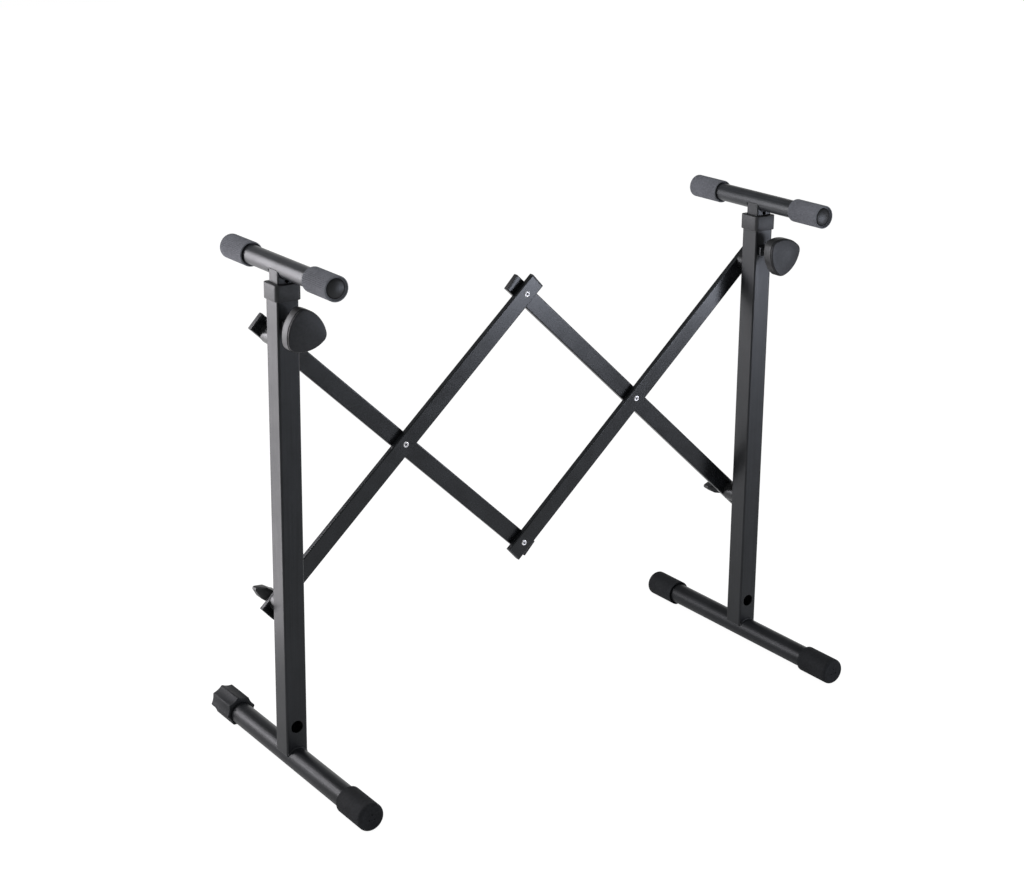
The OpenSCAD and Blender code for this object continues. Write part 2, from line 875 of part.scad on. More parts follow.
module right_slide_plate() { at_right() slide_plate(); }
module right_slide_bolt() { at_right() slide_bolt(rear_layer_y); }
module right_slide_bush() { at_right() slide_bush(rear_layer_y); }
module right_slide_washer() { at_right() slide_washer(rear_layer_y); }
module right_wing_nut() { at_right() wing_nut(rear_layer_y, right_wing_turn); }

module right_base_tube() { at_right() base_tube(-base_half, base_half); }
module right_post() { at_right() post(); }
module right_collar() { at_right() collar(); }
module right_front_foot() { at_right() front_foot(); }
module right_rear_foot() { at_right() rotate(180) front_foot(); }
module right_clamp_boss() { at_right() clamp_boss(); }
module right_pivot_bush() { at_right() pivot_bush(front_layer_y); }
module right_pivot_screw() { at_right() pivot_screw(front_layer_y); }
module right_pivot_washer() { at_right() pivot_washer(front_layer_y); }

module right_mast() { at_right() mast(); }
module right_support_bar() { at_right() support_bar(); }
module right_grips() { at_right() grips(); }
module right_bar_plugs() { at_right() bar_plugs(); }
module right_mast_guide() { at_right() mast_guide(); }

module right_knob() { at_right() knob(right_knob_turn); }
module right_knob_cover() { at_right() knob_cover(right_knob_turn); }
module right_clamp_screw() { at_right() clamp_screw(); }

left_base_tube();
left_post();
left_collar();
left_front_foot();
left_levelling_foot();
left_clamp_boss();
left_pivot_bush();
left_pivot_screw();
left_pivot_washer();
left_mast();
left_support_bar();
left_grips();
left_bar_plugs();
left_mast_guide();
left_knob();
left_knob_cover();
left_clamp_screw();
left_falling_arm();
left_falling_caps();
left_rising_arm();
left_rising_caps();
left_arm_rivets();
left_arm_washers();
left_slide_plate();
left_slide_bolt();
left_slide_bush();
left_slide_washer();
left_wing_nut();
right_rising_arm();
right_rising_caps();
right_arm_rivets();
right_arm_washers();
right_falling_arm();
right_falling_caps();
right_slide_plate();
right_slide_bolt();
right_slide_bush();
right_slide_washer();
right_wing_nut();
right_base_tube();
right_post();
right_collar();
right_front_foot();
right_rear_foot();
right_clamp_boss();
right_pivot_bush();
right_pivot_screw();
right_pivot_washer();
right_mast();
right_support_bar();
right_grips();
right_bar_plugs();
right_mast_guide();
right_knob();
right_knob_cover();
right_clamp_screw();
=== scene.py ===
# %% [markdown]
# # A folding keyboard stand
# The frame that this lesson dresses is a finished CAD model. Each of its pieces comes in as an object that
# already sits where it belongs, so nothing here has to be fitted. The lesson sets up a camera and a plain
# studio, makes the paints, plastics and rubbers, gives them to the pieces, and then models the parts that a
# CAD solid shows too plainly.

# %% Load the frame
import math

import bmesh
import bpy
from mathutils import Matrix, Vector


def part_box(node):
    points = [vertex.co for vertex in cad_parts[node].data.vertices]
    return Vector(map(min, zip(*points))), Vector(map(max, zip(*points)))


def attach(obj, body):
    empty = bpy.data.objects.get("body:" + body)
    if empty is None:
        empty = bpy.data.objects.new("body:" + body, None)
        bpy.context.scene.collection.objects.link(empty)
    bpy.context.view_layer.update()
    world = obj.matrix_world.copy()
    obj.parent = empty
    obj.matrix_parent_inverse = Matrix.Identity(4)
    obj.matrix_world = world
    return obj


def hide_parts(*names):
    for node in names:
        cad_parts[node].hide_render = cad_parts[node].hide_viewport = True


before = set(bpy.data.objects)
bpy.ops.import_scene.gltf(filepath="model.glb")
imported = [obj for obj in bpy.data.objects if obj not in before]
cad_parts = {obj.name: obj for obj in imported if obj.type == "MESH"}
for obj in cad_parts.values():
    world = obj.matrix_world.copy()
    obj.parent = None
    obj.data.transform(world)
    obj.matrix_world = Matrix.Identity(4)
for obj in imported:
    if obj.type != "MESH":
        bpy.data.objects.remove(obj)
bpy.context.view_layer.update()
MM = 0.001

# %% [markdown]
# ## The camera
# The stand is seen from its front left and a little from above. Three angles say how the camera is turned:
# the yaw to the right, the pitch down and a slight roll. A turn matrix made of the camera's own three
# directions is easier to read than Euler angles. The small shift keeps the feet inside the picture.

# %% Place the camera
CAMERA_PLACE = Vector((-1.49515, -2.10292, 1.22933))
CAMERA_YAW, CAMERA_PITCH, CAMERA_ROLL = 0.60488, 0.27493, 0.01028

forward = Vector((
    math.sin(CAMERA_YAW) * math.cos(CAMERA_PITCH),
    math.cos(CAMERA_YAW) * math.cos(CAMERA_PITCH),
    -math.sin(CAMERA_PITCH),
))
level_right = Vector((math.cos(CAMERA_YAW), -math.sin(CAMERA_YAW), 0))
level_up = level_right.cross(forward)
right = math.cos(CAMERA_ROLL) * level_right + math.sin(CAMERA_ROLL) * level_up
up = math.cos(CAMERA_ROLL) * level_up - math.sin(CAMERA_ROLL) * level_right

camera_data = bpy.data.cameras.new("Camera")
camera_data.sensor_width = 36
camera_data.lens = 70.33
camera_data.shift_y = -0.08
camera = bpy.data.objects.new("Camera", camera_data)
camera.matrix_world = Matrix.Translation(CAMERA_PLACE) @ Matrix((right, up, -forward)).transposed().to_4x4()
bpy.context.scene.collection.objects.link(camera)
bpy.context.scene.camera = camera
print("camera looks along", [round(c, 3) for c in forward])

# %% [markdown]
# ## Shader maths as expressions
# Most finishes below are sums and products of noises. Wiring Math nodes one by one hides what they say, so
# this class wraps an output socket and gives it Python's operators. Each operation adds its own node. The
# method `node` makes any other node: settings first, then the values or links of its sockets.

# %% A socket with operators
class Wire:
    """An output socket of a node tree that can be added, multiplied and so on."""

    def __init__(self, tree, socket=None):
        self.tree = tree
        self.socket = socket

    def node(self, kind, settings=None, inputs=None, output=0):
        made = self.tree.nodes.new(kind)
        for name, value in (settings or {}).items():
            setattr(made, name, value)
        for key, value in (inputs or {}).items():
            if isinstance(value, Wire):
                self.tree.links.new(value.socket, made.inputs[key])
            else:
                made.inputs[key].default_value = value
        return Wire(self.tree, made.outputs[output] if made.outputs else None)

    def maths(self, operation, *values):
        return self.node("ShaderNodeMath", {"operation": operation}, dict(enumerate(values)))

    def __add__(self, other):
        return self.maths("ADD", self, other)

    def __sub__(self, other):
        return self.maths("SUBTRACT", self, other)

    def __mul__(self, other):
        return self.maths("MULTIPLY", self, other)

    __radd__ = __add__
    __rmul__ = __mul__


def ramp(wire, low, high, at_low=0.0, at_high=1.0):
    """Runs from at_low to at_high while the wire goes from low to high, and stays there outside."""
    return wire.node("ShaderNodeMapRange", {"clamp": True}, {0: wire, 1: low, 2: high, 3: at_low, 4: at_high})


print("operators ready")

# %% [markdown]
# ## The studio
# The stand is black, so its look is nearly all reflection: a black face shows what lies in its mirror
# direction. Light from all round would turn every face the same grey. So each light has its own job, and its
# place follows from the mirror direction of the faces it is for. The left faces look back to the left, where
# a tall softbox and a small low one stand and a bright panel lies on the ground, and turn light grey. The
# front faces look down at the floor on the right and stay dark. A smaller softbox there, gridded so that it
# lights only what is before it, puts the bright patch on the middle of the glossy arms. A fill near the
# camera and a weak light above keep the rest from going black. No light is seen by the camera itself.

# %% Softboxes
def softbox(name, place, aim, size, strength, colour, spread=180):
    """A rectangular light at place, turned to aim. Strength is its brightness, where 1 is paper white."""
    data = bpy.data.lights.new(name, "AREA")
    data.shape = "RECTANGLE"
    data.size, data.size_y = size
    data.energy = strength * math.pi * size[0] * size[1]
    data.color = colour
    data.spread = math.radians(spread)
    lamp = bpy.data.objects.new(name, data)
    lamp.location = place
    lamp.rotation_euler = (Vector(aim) - Vector(place)).to_track_quat("-Z", "Y").to_euler()
    lamp.visible_camera = False
    bpy.context.scene.collection.objects.link(lamp)


softbox("Left softbox", (-1.21, 1.13, 0.78), (-0.38, 0.0, 0.55), (0.50, 1.00), 10.5, (1.0, 0.96, 1.0))
softbox("Low softbox", (-1.03, 1.20, 0.20), (-0.40, 0.0, 0.40), (0.32, 0.28), 4.5, (1.0, 0.95, 0.99))
softbox("Ground panel", (-0.84, 0.84, 0.035), (-0.817, 0.795, 1.035), (0.36, 1.05), 2.5, (1.0, 0.95, 0.99))
softbox("Front softbox", (1.10, -1.36, 0.30), (0.05, 0.0, 0.55), (0.90, 0.30), 3.6, (0.86, 0.88, 1.0), 100)
softbox("Fill softbox", (-1.5, -2.0, 1.5), (0.0, 0.0, 0.4), (0.6, 0.6), 2.5, (0.95, 0.97, 1.0))
softbox("Top softbox", (-0.2, -0.2, 2.3), (0.0, 0.0, 0.3), (1.8, 1.8), 0.9, (0.96, 0.98, 1.0))

# %% [markdown]
# ## The world
# The stand is shown on plain white. A white room built of meshes would also flood it with light. Light Path
# instead tells a ray that comes from the camera, or from a glossy or clear surface, from one that only
# gathers light. The world is white to the camera and a soft grey to the rays that gather light. A mirror sees
# the white sweep behind the stand, but also a dark ceiling above it and a dark room before it, and these draw
# the dark bands along the tubes.

# %% World
WHITE = (1, 1, 1, 1)
ROOM_LIGHT = 0.45  # what the world gives to rays that gather light
CEILING_GLOW = 0.20  # what a mirror sees of the ceiling and of the room before the stand
CEILING_STARTS, CEILING_FULL = 0.24, 0.46  # upward share of a direction
ROOM_ENDS, SWEEP_FULL = -0.4, 0.2  # backward share of a direction


def seen_directly(wire):
    """1 for rays from the camera and from glossy or clear surfaces, 0 for the rest."""
    paths = [wire.node("ShaderNodeLightPath", output=name)
             for name in ("Is Camera Ray", "Is Glossy Ray", "Is Transmission Ray")]
    return paths[0].maths("MAXIMUM", paths[0], paths[1].maths("MAXIMUM", paths[1], paths[2]))


world = bpy.data.worlds.new("Studio")
bpy.context.scene.world = world
world.use_nodes = True
world.node_tree.nodes.clear()
sky = Wire(world.node_tree)
plain_sky = sky.node("ShaderNodeBackground", inputs={"Color": WHITE, "Strength": ROOM_LIGHT})
direction = sky.node("ShaderNodeTexCoord", output="Generated")
rise = sky.node("ShaderNodeSeparateXYZ", inputs={0: direction}, output="Z")
backwards = sky.node("ShaderNodeSeparateXYZ", inputs={0: direction}, output="Y")
white_part = ramp(rise, CEILING_STARTS, CEILING_FULL, 1.0, 0.0) * ramp(backwards, ROOM_ENDS, SWEEP_FULL)
in_camera = sky.node("ShaderNodeLightPath", output="Is Camera Ray")
sweep = in_camera.maths("MAXIMUM", in_camera, CEILING_GLOW + (1 - CEILING_GLOW) * white_part)
white_sky = sky.node("ShaderNodeBackground", inputs={"Color": WHITE, "Strength": sweep})
mixed_sky = sky.node("ShaderNodeMixShader", inputs={0: seen_directly(sky), 1: plain_sky, 2: white_sky})
sky.node("ShaderNodeOutputWorld", inputs={"Surface": mixed_sky})
bpy.context.scene.view_settings.view_transform = "Standard"
print("world nodes:", len(world.node_tree.nodes))

# %% [markdown]
# ## The floor
# The floor has to be as white as the world and still keep the stand's shadow. A floor that only glows would
# lose the shadow, and a matt one would turn grey. So the camera sees mostly glow and a little matt white. For
# a mirror the glow grows from none before the stand to a good share behind it, which keeps the front faces
# dark. To rays that gather light the floor is matt alone.

# %% Floor
FLOOR_HALF = 9
FLOOR_GLOW = 1.15
FLOOR_PAINT = (0.9, 0.9, 0.9, 1)
CAMERA_SHARE = 0.82  # share of glow for the camera
MIRROR_SHARE = 0.60  # largest share of glow for mirrors
MIRROR_FROM, MIRROR_FULL = -0.2, 0.8  # where along Y that share starts and is full, in metres


def new_material(name):
    """An empty node material, and a Wire to start its tree from."""
    material = bpy.data.materials.new(name)
    material.use_nodes = True
    material.node_tree.nodes.clear()
    return material, Wire(material.node_tree)


ground, start = new_material("White ground")
white_glow = start.node("ShaderNodeEmission", inputs={"Color": WHITE, "Strength": FLOOR_GLOW})
matt_white = start.node("ShaderNodeBsdfDiffuse", inputs={"Color": FLOOR_PAINT})
in_camera = start.node("ShaderNodeLightPath", output="Is Camera Ray")
ground_place = start.node("ShaderNodeTexCoord", output="Object")
backwards = start.node("ShaderNodeSeparateXYZ", inputs={0: ground_place}, output="Y")
mirror_glow = seen_directly(start) * ramp(backwards, MIRROR_FROM, MIRROR_FULL, 0.0, MIRROR_SHARE)
glow_share = in_camera.maths("MAXIMUM", in_camera * CAMERA_SHARE, mirror_glow)
ground_look = start.node("ShaderNodeMixShader", inputs={0: glow_share, 1: matt_white, 2: white_glow})
start.node("ShaderNodeOutputMaterial", inputs={"Surface": ground_look})

floor_mesh = bpy.data.meshes.new("Floor")
floor_shape = bmesh.new()
bmesh.ops.create_grid(floor_shape, x_segments=1, y_segments=1, size=FLOOR_HALF)
floor_shape.to_mesh(floor_mesh)
floor_shape.free()
floor = bpy.data.objects.new("Floor", floor_mesh)
floor_mesh.materials.append(ground)
bpy.context.scene.collection.objects.link(floor)
print("floor is", 2 * FLOOR_HALF, "m wide")

# %% [markdown]
# ## Helpers for finishes
# Scanned images could carry the finishes, but noises need no unwrapping and stay sharp from any distance.
# Every finish starts from the piece's own coordinates. Noises stretched along one direction make the streaks
# that a drawn tube keeps under its paint. A fine even noise is the orange peel of powder coat or the grain of
# a mould. The Bevel node rounds the normals at sharp edges, so that a cut edge catches a thin line of light.

# %% Helpers for finishes
def rgb(*colour):
    """A colour with full alpha."""
    return (*colour, 1)


def tinted(level, tint):
    """A grey of the given level, times a tint."""
    return rgb(*(level * t for t in tint))


def own_place(wire):
    """The place on the piece, in metres."""
    return wire.node("ShaderNodeTexCoord", output="Object")


def noise(place, scale, detail=2.0, stretch=(1, 1, 1)):
    """Noise from about 0.3 to 0.7 at scale waves a metre, times stretch along each axis."""
    mapped = place.node("ShaderNodeMapping", inputs={"Vector": place, "Scale": stretch})
    return mapped.node("ShaderNodeTexNoise", inputs={"Vector": mapped, "Scale": scale, "Detail": detail})


def mix_colour(factor, low, high):
    """Blends two colours by a wire."""
    return factor.node("ShaderNodeMix", {"data_type": "RGBA"}, {0: factor, 6: low, 7: high}, output=2)


def finish(name, colour, roughness, bump, edge, metallic=0.0, **constants):
    """A Principled material. Colour, roughness and bump are functions of the place, bump in metres."""
    material, start = new_material(name)
    place = own_place(start)
    edge_normal = start.node("ShaderNodeBevel", {"samples": 4}, {"Radius": edge})
    normal = start.node("ShaderNodeBump", inputs={
        "Strength": 1.0, "Distance": 1.0, "Height": bump(place), "Normal": edge_normal})
    surface = start.node("ShaderNodeBsdfPrincipled", inputs={
        "Base Color": colour(place), "Roughness": roughness(place), "Metallic": metallic, "Normal": normal,
        **constants})
    start.node("ShaderNodeOutputMaterial", inputs={"Surface": surface})
    return material


print("finish helpers ready")

# %% [markdown]
# ## Paints
# The tubes are powder coated in black. One even grey would look like plastic, so the colour, the roughness
# and the height all take noises that are drawn out along the tube. The posts and masts are satin with fine
# upright streaks. The arms are smoother and glossier, with broad waves in place of streaks. The round tubes
# lie along Y. Their satin is streaky too: the support bars look like gunmetal where they mirror the light,
# and the base tubes are darker. The real black is a cold one, so a tint puts a little blue in the paint and
# another puts a little in its sheen.

# %% Paints
UPRIGHT = (1, 1, 0.012)
LENGTHWISE = (1, 0.012, 1)
BROAD = (0.06, 0.06, 0.06)
STREAK_SCALE = 700
PAINT_EDGE = 0.0004
INK = (0.95, 1.02, 1.18)
BLUE_SHEEN = rgb(0.93, 0.97, 1.0)


def paint(name, dark, light, gloss, streak, streak_gain, peel, specular=0.4):
    """Powder coat with streaks along one axis. Gloss is the mean roughness."""
    def colour(place):
        cloud = noise(place, 22, 3)
        lines = noise(place, STREAK_SCALE, 2, streak)
        return mix_colour(ramp(cloud + lines, 0.75, 1.25), tinted(dark, INK), tinted(light, INK))

    def roughness(place):
        lines = noise(place, STREAK_SCALE, 2, streak) - 0.5
        patches = noise(place, 30, 3) - 0.5
        return gloss + lines * streak_gain + patches * 0.10

    def bump(place):
        orange_peel = noise(place, 350, 1)
        lines = noise(place, 420, 1, streak)
        return orange_peel * peel + lines * (peel * 0.5)

    return finish(name, colour, roughness, bump, PAINT_EDGE,
                  **{"Specular IOR Level": specular, "Specular Tint": BLUE_SHEEN})


post_paint = paint("Satin black paint", 0.005, 0.011, 0.37, UPRIGHT, 0.20, peel=0.000005, specular=0.36)
arm_paint = paint("Gloss black paint", 0.004, 0.009, 0.25, BROAD, 0.12, peel=0.000002)
bar_paint = paint("Gunmetal paint", 0.016, 0.030, 0.36, LENGTHWISE, 0.14, peel=0.000003)
base_paint = paint("Base tube paint", 0.007, 0.014, 0.38, LENGTHWISE, 0.14, peel=0.000003, specular=0.22)
print("paints:", [m.name for m in (post_paint, arm_paint, bar_paint, base_paint)])

# %% [markdown]
# ## Plastics and rubbers
# The collars, caps, knobs, plugs and bushes are moulded plastic, with a fine even grain and a little lighter
# dust in places. The feet are a matt rubber and the grips a greyer, softer one. Rubber could have a shader of
# its own, but it differs from plastic only in being rougher and less shiny, so one function makes both.

# %% Plastics and rubbers
MOULD_EDGE = 0.0005


def moulded(name, dark, light, gloss, grain=0.000012, tint=(1, 1, 1.04), specular=0.4):
    """Plastic or rubber with an even mould grain. Gloss is the mean roughness."""
    def colour(place):
        dust = noise(place, 18, 4)
        specks = noise(place, 260, 3)
        return mix_colour(ramp(dust + specks, 0.78, 1.22), tinted(dark, tint), tinted(light, tint))

    def roughness(place):
        return gloss + (noise(place, 45, 4) - 0.5) * 0.22

    def bump(place):
        return noise(place, 1500, 2) * grain

    return finish(name, colour, roughness, bump, MOULD_EDGE,
                  **{"Specular IOR Level": specular, "Specular Tint": BLUE_SHEEN})


collar_plastic = moulded("Collar plastic", 0.016, 0.026, 0.46)
knob_plastic = moulded("Knob plastic", 0.012, 0.020, 0.42)
cover_plastic = moulded("Knob cover plastic", 0.009, 0.016, 0.44, specular=0.3, tint=(1, 1.01, 1.10))
cap_plastic = moulded("Cap plastic", 0.010, 0.018, 0.45)
level_plastic = moulded("Levelling foot plastic", 0.011, 0.019, 0.58, tint=(0.94, 1.0, 1.12), specular=0.22)
foot_rubber = moulded("Foot rubber", 0.007, 0.014, 0.78, grain=0.00002, tint=(0.93, 1.0, 1.15), specular=0.22)
grip_rubber = moulded("Grip rubber", 0.108, 0.145, 0.80, grain=0.00001, tint=(0.96, 1.0, 1.12), specular=0.3)
plug_plastic = moulded("Plug plastic", 0.006, 0.011, 0.40, grain=0.000004)
bush_plastic = moulded("Bush plastic", 0.008, 0.014, 0.28, grain=0.000004)
grey_plastic = moulded("Grey plastic", 0.42, 0.52, 0.45)
print("moulded:", [m.name for m in (collar_plastic, knob_plastic, foot_rubber, grip_rubber, grey_plastic)])

# %% [markdown]
# ## Zinc
# The rivets, screws, bolts and washers are plated in bright zinc. Polished metal would be a plain mirror, but
# plating clouds a little as it ages. So slow noises shift its colour and its roughness.

# %% Zinc
ZINC_EDGE = 0.0003


def zinc_colour(place):
    clouds = ramp(noise(place, 120, 4), 0.35, 0.65)
    return mix_colour(clouds, rgb(0.74, 0.75, 0.77), rgb(0.90, 0.90, 0.91))


def zinc_roughness(place):
    return 0.34 + (noise(place, 240, 3) - 0.5) * 0.25


def zinc_bump(place):
    return noise(place, 1800, 2) * 0.000006


zinc = finish("Bright zinc", zinc_colour, zinc_roughness, zinc_bump, ZINC_EDGE, metallic=1.0)
print("metal:", zinc.name)

# %% [markdown]
# ## Give the finishes to the CAD pieces
# The pieces could be dressed one by one. But left and right pieces share a name after the side, so one table
# of endings dresses both. A piece takes the first row whose ending fits its name.

# %% Dress the CAD pieces
FINISH_OF = [
    ("arm_rivets", zinc), ("arm_washers", grey_plastic), ("_caps", cap_plastic), ("_arm", arm_paint),
    ("post", post_paint), ("mast", post_paint), ("clamp_boss", post_paint), ("slide_plate", post_paint),
    ("support_bar", bar_paint), ("base_tube", base_paint), ("collar", collar_plastic),
    ("front_foot", foot_rubber), ("rear_foot", foot_rubber), ("levelling_foot", level_plastic),
    ("grips", grip_rubber), ("bar_plugs", plug_plastic), ("mast_guide", grey_plastic),
    ("knob_cover", cover_plastic), ("knob", knob_plastic), ("wing_nut", knob_plastic),
    ("bush", bush_plastic), ("screw", zinc), ("bolt", zinc), ("washer", zinc),
]
for name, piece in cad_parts.items():
    look = next(material for ending, material in FINISH_OF if name.endswith(ending))
    for slot in piece.material_slots:
        slot.material = look
print("dressed", len(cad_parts), "CAD pieces")

# %% [markdown]
# ## Helpers for new pieces
# The CAD model works in millimetres, so the new shapes do too, and they shrink to metres when they are done.
# `lathe` spins a half profile about a line along Y, which suits grips, rivets and hubs. `piece_of` turns the
# normals outwards, smooths what is round, and hangs the piece on a body of the frame. It also gives the piece
# its finish and hides the CAD pieces that it stands for.

# %% Helpers for new pieces
SIDES = ("left", "right")


def middle(node):
    """The centre of a CAD piece, in millimetres."""
    low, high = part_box(node)
    return (low + high) / 2 / MM


def lathe(profile, centre, steps):
    """Spins (radius, y) pairs about the line along Y through centre, in millimetres."""
    shape = bmesh.new()
    points = [shape.verts.new((centre.x + radius, y, centre.z)) for radius, y in profile]
    edges = [shape.edges.new(pair) for pair in zip(points, points[1:])]
    bmesh.ops.spin(shape, geom=points + edges, cent=centre, axis=(0, 1, 0), angle=math.tau,
                   steps=steps, use_merge=True, use_duplicate=False)
    bmesh.ops.remove_doubles(shape, verts=shape.verts, dist=0.0005)
    return shape


def join(shapes):
    """Puts several shapes into one bmesh."""
    whole = bmesh.new()
    for shape in shapes:
        mesh = bpy.data.meshes.new("part")
        shape.to_mesh(mesh)
        shape.free()
        whole.from_mesh(mesh)
        bpy.data.meshes.remove(mesh)
    return whole


def piece_of(name, shape, look, body, stands_for=(), sharp=35):
    """Makes an object in metres from a shape in millimetres and hangs it on a body."""
    bmesh.ops.recalc_face_normals(shape, faces=shape.faces)
    bmesh.ops.scale(shape, vec=(MM, MM, MM), verts=shape.verts)
    mesh = bpy.data.meshes.new(name)
    shape.to_mesh(mesh)
    shape.free()
    mesh.shade_smooth()
    mesh.set_sharp_from_angle(angle=math.radians(sharp))
    mesh.materials.append(look)
    piece = bpy.data.objects.new(name, mesh)
    bpy.context.scene.collection.objects.link(piece)
    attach(piece, body)
    if stands_for:
        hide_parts(*stands_for)
    print(name, "with", len(mesh.polygons), "faces")


print("piece helpers ready")

# %% [markdown]
# ## Clamp knobs
# Each knob is a fat three-lobed grip. Its outline is six arcs, three small ones at the lobes and three long
# ones between them, each drawn about the far lobe. It could be typed in as a list of points, but spinning one
# point through the six arcs traces it from two radii. The face is then pulled up and its rims are bevelled.
# The cover plate is a second, slightly smaller slab with a softer front rim. A flared hub joins the knob to
# its screw. The front is left bare.

# %% Knobs and covers
KNOB_REACH, KNOB_CORNER = 29.3, 11.6  # from the middle to a lobe's tip, and the lobe's radius
KNOB_BACK, KNOB_BODY, KNOB_THICK = -43, 15.0, 18.0  # y of the back, and heights over it
KNOB_TURN = {"left": 11, "right": 49}
KNOB_RIMS = 2.5, 0.6  # back and front
COVER_INSET, COVER_GAP = 0.7, 0.1
COVER_RIMS = 0.3, 1.4
RIM_SEGMENTS = 5, 4
LOBE_STEPS, LONG_STEPS = 10, 14
SAME_HEIGHT = 1e-4

HUB_BORE, HUB_RADIUS, HUB_END = 4.1, 6, -24
HUB = [
    (HUB_BORE, HUB_END + 0.1), (5.6, HUB_END), (HUB_RADIUS, HUB_END - 0.4), (HUB_RADIUS, KNOB_BACK + 5),
    (6.6, KNOB_BACK + 3), (8.5, KNOB_BACK + 0.6), (11, KNOB_BACK - 0.2), (HUB_BORE, KNOB_BACK - 0.2),
    (HUB_BORE, HUB_END + 0.1),
]
HUB_STEPS = 48


def lobed_face(shape, inset, height):
    """A three-lobed face at a height, smaller than the knob by inset all round."""
    reach = KNOB_REACH - KNOB_CORNER
    turns = [math.radians(angle) for angle in (0, 120, 240)]
    lobes = [Vector((reach * math.cos(turn), reach * math.sin(turn), height)) for turn in turns]
    first_turn = math.radians(-30)
    start = Vector((math.cos(first_turn), math.sin(first_turn), 0))
    point = shape.verts.new(lobes[0] + (KNOB_CORNER - inset) * start)
    for lobe in range(3):
        for centre, steps in ((lobes[lobe], LOBE_STEPS), (lobes[(lobe + 2) % 3], LONG_STEPS)):
            made = bmesh.ops.spin(shape, geom=[point], cent=centre, axis=(0, 0, 1), angle=math.radians(60),
                                  steps=steps, use_duplicate=False)
            point = next(e for e in made["geom_last"] if isinstance(e, bmesh.types.BMVert))
    rim = [v for v in shape.verts if abs(v.co.z - height) < SAME_HEIGHT]
    bmesh.ops.remove_doubles(shape, verts=rim, dist=0.001)
    edges = [e for e in shape.edges if e.is_wire]
    return bmesh.ops.contextual_create(shape, geom=edges)["faces"][0]


def lobed_slab(inset, low, high, rims):
    """A slab between two heights whose low and high rims are bevelled by the two sizes."""
    shape = bmesh.new()
    face = lobed_face(shape, inset, low)
    made = bmesh.ops.extrude_face_region(shape, geom=[face], use_keep_orig=True)
    top = [e for e in made["geom"] if isinstance(e, bmesh.types.BMVert)]
    bmesh.ops.translate(shape, verts=top, vec=(0, 0, high - low))
    for height, size, segments in zip((low, high), rims, RIM_SEGMENTS):
        rim = [e for e in shape.edges if all(abs(v.co.z - height) < SAME_HEIGHT for v in e.verts)]
        bmesh.ops.bevel(shape, geom=rim, offset=size, offset_type="OFFSET", affect="EDGES",
                        segments=segments, profile=0.5, material=-1, clamp_overlap=True)
    return shape


def stand_knob(shape, side, centre):
    """Turns a slab drawn upwards so that it faces the front, lobes as photographed."""
    place = Matrix.Translation((centre.x, KNOB_BACK, centre.z))
    to_front = Matrix.Rotation(math.radians(90), 4, "X")
    lobes_turned = Matrix.Rotation(math.radians(90 + KNOB_TURN[side]), 4, "Z")
    bmesh.ops.transform(shape, matrix=place @ (to_front @ lobes_turned), verts=shape.verts)
    return shape


for side in SIDES:
    centre = middle(f"{side}_clamp_screw")
    slab = stand_knob(lobed_slab(0, 0, KNOB_BODY, KNOB_RIMS), side, centre)
    hub = lathe(HUB, centre, HUB_STEPS)
    piece_of(f"{side}_knob_body", join([slab, hub]), knob_plastic, f"{side}_clamp",
             [f"{side}_knob"])
    cover = lobed_slab(COVER_INSET, KNOB_BODY + COVER_GAP, KNOB_THICK, COVER_RIMS)
    piece_of(f"{side}_knob_face", stand_knob(cover, side, centre), cover_plastic, f"{side}_clamp",
             [f"{side}_knob_cover"])

# %% [markdown]
# ## Grips
# A grip is a rubber sleeve with fine ribs along it. A bump texture could draw the ribs, but the outline would
# stay smooth, so they are cut for real. The lathe makes the sleeve with rounded ends and an open ring at each
# end. Between the ends every third line of vertices is then drawn in by the depth of a groove, which leaves
# wide ribs between narrow grooves. A domed plug closes the bar inside the outer ring.

# %% Grips and bar plugs
GRIP_RIBS, LINES_A_RIB, GROOVE = 44, 3, 0.7
GRIP_OUT, GRIP_IN, BAR_END = 135, 78, 132  # distances from the middle of the bar
GRIP_RADIUS, GRIP_BORE, GRIP_EDGE = 16, 12.6, 1.5
RING_RADIUS, RING_DEPTH, RING_CHAMFER = 14.3, 4, 0.3
RIB_START = 4  # the ribs have their full depth from this far inside the sleeve's ends
PLUG_DOME = [  # radius, and distance out from the bar's end
    (0.0, 2.8), (4.0, 2.6), (8.0, 2.0), (10.6, 1.4), (11.8, 0.9), (12.3, 0.5), (12.4, 0.2), (0.0, 0.2),
]
PLUG_STEPS = 48


def rounded_end(middle_y, from_angle, to_angle, steps=6):
    """The sleeve's rounded edge as (radius, y), where angle 0 points outwards and 90 to the outer end."""
    angles = [math.radians(from_angle + (to_angle - from_angle) * i / steps) for i in range(steps + 1)]
    middle_radius = GRIP_RADIUS - GRIP_EDGE
    return [(middle_radius + GRIP_EDGE * math.cos(a), middle_y + GRIP_EDGE * math.sin(a)) for a in angles]


SLEEVE = [
    (GRIP_BORE, GRIP_IN + RING_DEPTH), (RING_RADIUS, GRIP_IN + RING_DEPTH),
    (RING_RADIUS, GRIP_IN + RING_CHAMFER),
    *rounded_end(GRIP_IN + GRIP_EDGE, -90, 0),
    (GRIP_RADIUS, GRIP_IN + RIB_START), (GRIP_RADIUS, GRIP_OUT - RIB_START),
    *rounded_end(GRIP_OUT - GRIP_EDGE, 0, 90),
    (RING_RADIUS, GRIP_OUT - RING_CHAMFER), (RING_RADIUS, BAR_END), (GRIP_BORE, BAR_END),
    (GRIP_BORE, GRIP_IN + RING_DEPTH),
]


